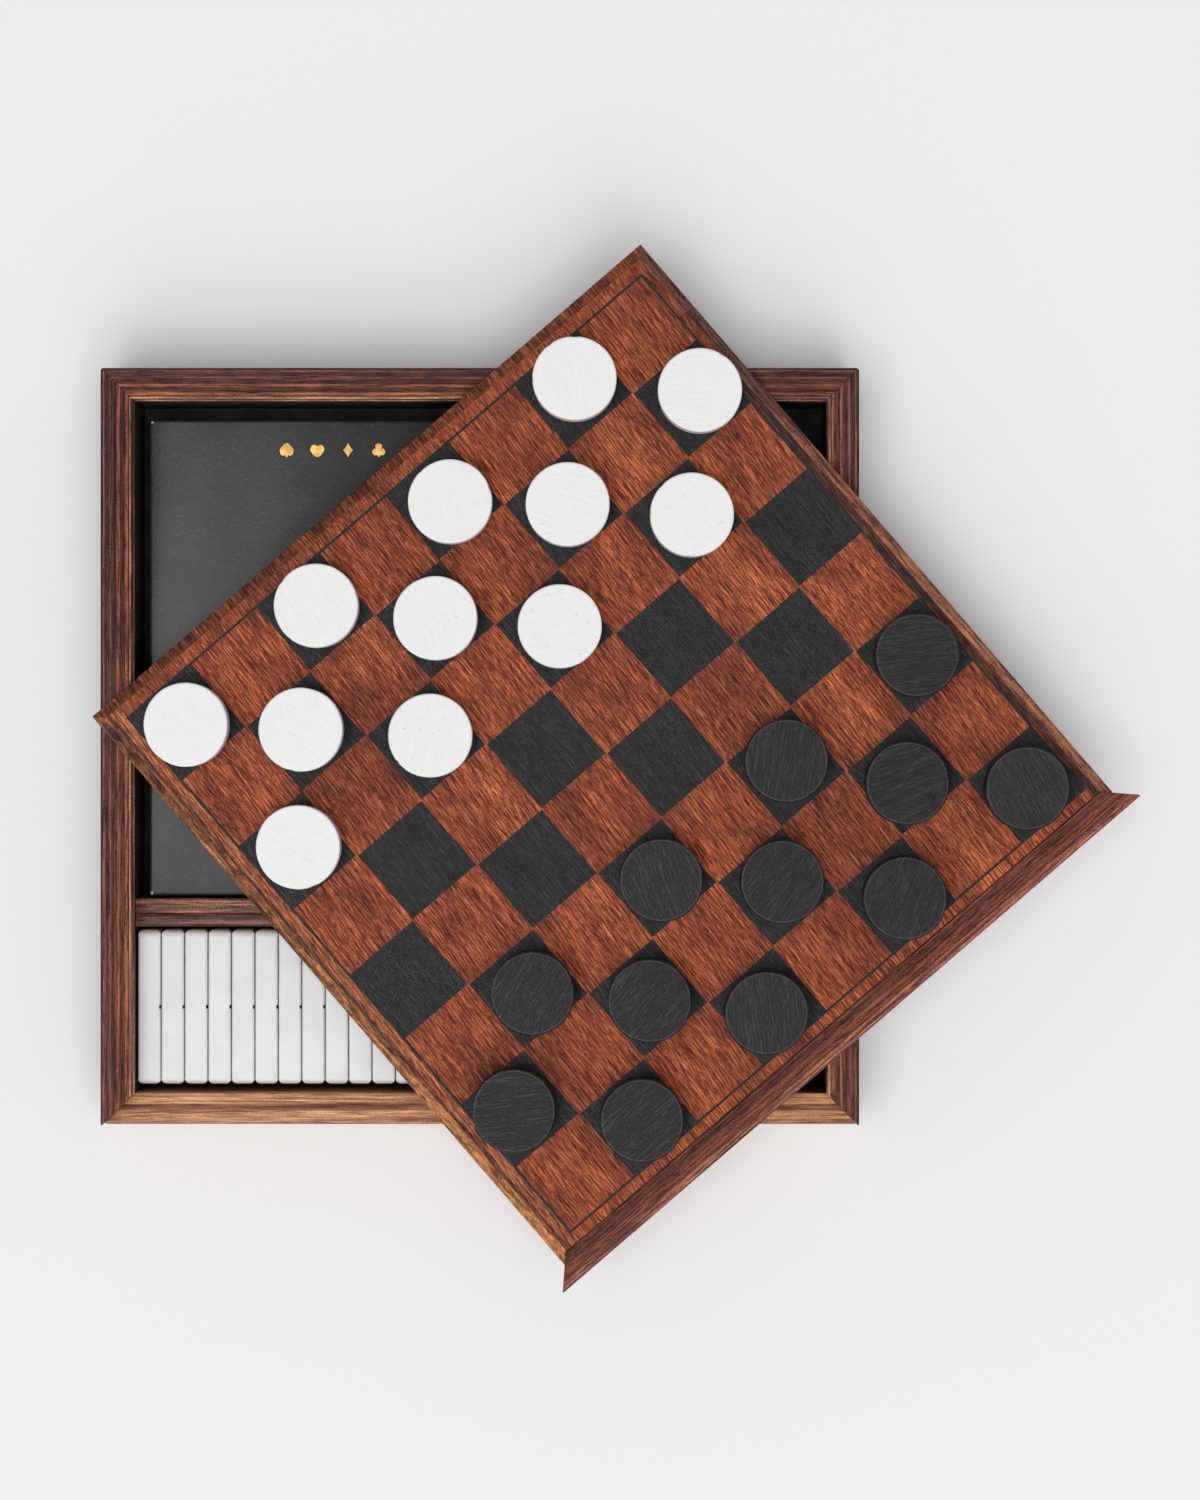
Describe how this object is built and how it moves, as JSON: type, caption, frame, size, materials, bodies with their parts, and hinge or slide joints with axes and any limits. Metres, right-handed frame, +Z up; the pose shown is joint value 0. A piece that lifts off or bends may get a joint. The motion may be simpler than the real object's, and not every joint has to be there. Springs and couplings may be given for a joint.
{
  "type": "games compendium box",
  "caption": "Shallow wooden games box holding dominoes and boxed playing cards, with its sliding draughts-board lid laid turned across the rim and a game of draughts set out on it.",
  "frame": {"origin": "middle of the box's underside, on the surface it stands on", "axes": "+Z up, +Y to the back wall, -Y the way the board slides out over the low front wall, +X to the right"},
  "size_m": [0.3022, 0.3023, 0.0516],
  "materials": {
    "rim_wood": "dark red-brown stained and waxed",
    "raw_wood": "lighter, thinly stained",
    "board_wood": "red-brown stained, open grain, satin",
    "dark_stain": "matt black-green paint film that shows the grain",
    "felt": "short-pile felt",
    "wrapped_board": "matt speckled charcoal paper wrap",
    "playing_cards": "cut card edges",
    "domino_white": "white, softly polished",
    "white_paint": "off-white matt paint with fine pits",
    "black_paint": "black matt paint that shows the grain"
  },
  "bodies": {
    "box": {"wall_left": "rim_wood", "wall_right": "rim_wood", "wall_back": "rim_wood", "wall_front": "raw_wood", "bottom_panel": "raw_wood", "divider_strip_card_side": "raw_wood", "divider_strip_domino_side": "rim_wood", "felt_well": "felt", "felt_channel": "felt"},
    "board": {"board_panel": "board_wood", "board_bar": "rim_wood", "board_dark_squares": "dark_stain", "board_line": "dark_stain"},
    "card_box": {"card_box_tray": "wrapped_board", "card_pack_back": "playing_cards", "card_pack_front": "playing_cards"},
    "card_lid": {"card_box_lid": "wrapped_board"},
    "domino_01": {"domino_01": "domino_white"},
    "domino_02": {"domino_02": "domino_white"},
    "domino_03": {"domino_03": "domino_white"},
    "domino_04": {"domino_04": "domino_white"},
    "domino_05": {"domino_05": "domino_white"},
    "domino_06": {"domino_06": "domino_white"},
    "domino_row": {"domino_07": "domino_white", "domino_08": "domino_white", "domino_09": "domino_white", "domino_10": "domino_white", "domino_11": "domino_white", "domino_12": "domino_white", "dominoes_13_to_28": "domino_white"},
    "white_draught_01": {"white_draught_01": "white_paint"},
    "white_draught_02": {"white_draught_02": "white_paint"},
    "white_draught_03": {"white_draught_03": "white_paint"},
    "white_draught_04": {"white_draught_04": "white_paint"},
    "white_draught_05": {"white_draught_05": "white_paint"},
    "white_draught_06": {"white_draught_06": "white_paint"},
    "white_draught_07": {"white_draught_07": "white_paint"},
    "white_draught_08": {"white_draught_08": "white_paint"},
    "white_draught_09": {"white_draught_09": "white_paint"},
    "white_draught_10": {"white_draught_10": "white_paint"},
    "white_draught_11": {"white_draught_11": "white_paint"},
    "white_draught_12": {"white_draught_12": "white_paint"},
    "black_draught_01": {"black_draught_01": "black_paint"},
    "black_draught_02": {"black_draught_02": "black_paint"},
    "black_draught_03": {"black_draught_03": "black_paint"},
    "black_draught_04": {"black_draught_04": "black_paint"},
    "black_draught_05": {"black_draught_05": "black_paint"},
    "black_draught_06": {"black_draught_06": "black_paint"},
    "black_draught_07": {"black_draught_07": "black_paint"},
    "black_draught_08": {"black_draught_08": "black_paint"},
    "black_draught_09": {"black_draught_09": "black_paint"},
    "black_draught_10": {"black_draught_10": "black_paint"},
    "black_draught_11": {"black_draught_11": "black_paint"},
    "black_draught_12": {"black_draught_12": "black_paint"}
  },
  "joints": [
    {"name": "board_lift", "type": "slide", "parent": "box", "child": "board", "axis": [0, 0, 1], "range_m": [0, 0.08]},
    {"name": "card_box_slide", "type": "slide", "parent": "box", "child": "card_box", "axis": [1, 0, 0], "range_m": [0, 0.0955]},
    {"name": "card_lid_lift", "type": "slide", "parent": "card_box", "child": "card_lid", "axis": [0, 0, 1], "range_m": [0, 0.012]},
    {"name": "domino_row_slide", "type": "slide", "parent": "box", "child": "domino_row", "axis": [1, 0, 0], "range_m": [0, 0.0055]},
    {"name": "domino_01_lift", "type": "slide", "parent": "box", "child": "domino_01", "axis": [0, 0, 1], "range_m": [0, 0.036]},
    {"name": "domino_02_lift", "type": "slide", "parent": "box", "child": "domino_02", "axis": [0, 0, 1], "range_m": [0, 0.036]},
    {"name": "domino_03_lift", "type": "slide", "parent": "box", "child": "domino_03", "axis": [0, 0, 1], "range_m": [0, 0.036]},
    {"name": "domino_04_lift", "type": "slide", "parent": "box", "child": "domino_04", "axis": [0, 0, 1], "range_m": [0, 0.036]},
    {"name": "domino_05_lift", "type": "slide", "parent": "box", "child": "domino_05", "axis": [0, 0, 1], "range_m": [0, 0.036]},
    {"name": "domino_06_lift", "type": "slide", "parent": "box", "child": "domino_06", "axis": [0, 0, 1], "range_m": [0, 0.036]},
    {"name": "white_draught_01_lift", "type": "slide", "parent": "board", "child": "white_draught_01", "axis": [0, 0, 1], "range_m": [0, 0.03]},
    {"name": "white_draught_02_lift", "type": "slide", "parent": "board", "child": "white_draught_02", "axis": [0, 0, 1], "range_m": [0, 0.03]},
    {"name": "white_draught_03_lift", "type": "slide", "parent": "board", "child": "white_draught_03", "axis": [0, 0, 1], "range_m": [0, 0.03]},
    {"name": "white_draught_04_lift", "type": "slide", "parent": "board", "child": "white_draught_04", "axis": [0, 0, 1], "range_m": [0, 0.03]},
    {"name": "white_draught_05_lift", "type": "slide", "parent": "board", "child": "white_draught_05", "axis": [0, 0, 1], "range_m": [0, 0.03]},
    {"name": "white_draught_06_lift", "type": "slide", "parent": "board", "child": "white_draught_06", "axis": [0, 0, 1], "range_m": [0, 0.03]},
    {"name": "white_draught_07_lift", "type": "slide", "parent": "board", "child": "white_draught_07", "axis": [0, 0, 1], "range_m": [0, 0.03]},
    {"name": "white_draught_08_lift", "type": "slide", "parent": "board", "child": "white_draught_08", "axis": [0, 0, 1], "range_m": [0, 0.03]},
    {"name": "white_draught_09_lift", "type": "slide", "parent": "board", "child": "white_draught_09", "axis": [0, 0, 1], "range_m": [0, 0.03]},
    {"name": "white_draught_10_lift", "type": "slide", "parent": "board", "child": "white_draught_10", "axis": [0, 0, 1], "range_m": [0, 0.03]},
    {"name": "white_draught_11_lift", "type": "slide", "parent": "board", "child": "white_draught_11", "axis": [0, 0, 1], "range_m": [0, 0.03]},
    {"name": "white_draught_12_lift", "type": "slide", "parent": "board", "child": "white_draught_12", "axis": [0, 0, 1], "range_m": [0, 0.03]},
    {"name": "black_draught_01_lift", "type": "slide", "parent": "board", "child": "black_draught_01", "axis": [0, 0, 1], "range_m": [0, 0.03]},
    {"name": "black_draught_02_lift", "type": "slide", "parent": "board", "child": "black_draught_02", "axis": [0, 0, 1], "range_m": [0, 0.03]},
    {"name": "black_draught_03_lift", "type": "slide", "parent": "board", "child": "black_draught_03", "axis": [0, 0, 1], "range_m": [0, 0.03]},
    {"name": "black_draught_04_lift", "type": "slide", "parent": "board", "child": "black_draught_04", "axis": [0, 0, 1], "range_m": [0, 0.03]},
    {"name": "black_draught_05_lift", "type": "slide", "parent": "board", "child": "black_draught_05", "axis": [0, 0, 1], "range_m": [0, 0.03]},
    {"name": "black_draught_06_lift", "type": "slide", "parent": "board", "child": "black_draught_06", "axis": [0, 0, 1], "range_m": [0, 0.03]},
    {"name": "black_draught_07_lift", "type": "slide", "parent": "board", "child": "black_draught_07", "axis": [0, 0, 1], "range_m": [0, 0.03]},
    {"name": "black_draught_08_lift", "type": "slide", "parent": "board", "child": "black_draught_08", "axis": [0, 0, 1], "range_m": [0, 0.03]},
    {"name": "black_draught_09_lift", "type": "slide", "parent": "board", "child": "black_draught_09", "axis": [0, 0, 1], "range_m": [0, 0.03]},
    {"name": "black_draught_10_lift", "type": "slide", "parent": "board", "child": "black_draught_10", "axis": [0, 0, 1], "range_m": [0, 0.03]},
    {"name": "black_draught_11_lift", "type": "slide", "parent": "board", "child": "black_draught_11", "axis": [0, 0, 1], "range_m": [0, 0.03]},
    {"name": "black_draught_12_lift", "type": "slide", "parent": "board", "child": "black_draught_12", "axis": [0, 0, 1], "range_m": [0, 0.03]}
  ]
}
